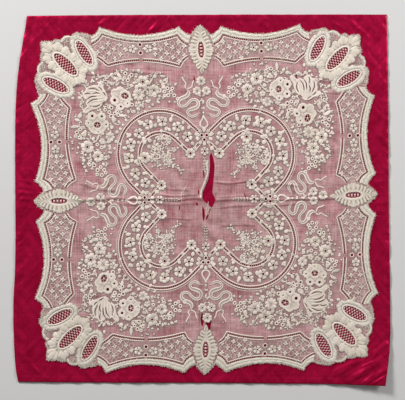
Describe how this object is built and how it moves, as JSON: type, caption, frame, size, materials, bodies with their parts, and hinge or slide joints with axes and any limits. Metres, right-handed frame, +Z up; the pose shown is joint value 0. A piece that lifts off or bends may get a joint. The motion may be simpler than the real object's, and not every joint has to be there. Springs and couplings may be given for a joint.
{
  "type": "handkerchief",
  "caption": "Square sheer whitework handkerchief with a scalloped padded edge and netted windows, lying flat on the larger hemmed silk square it is stitched to.",
  "frame": {"origin": "under the middle of the silk square's bounding box, on the surface it lies on", "axes": "+Z up out of the cloth, +X to the right along the silk's longer side, +Y to the top edge of the picture"},
  "size_m": [0.452, 0.4442, 0.008],
  "materials": {
    "silk": "crimson silk with a soft sheen",
    "lawn": "sheer cream cotton lawn, matt"
  },
  "bodies": {
    "root": {"silk_square": "silk", "handkerchief": "lawn"}
  },
  "joints": []
}
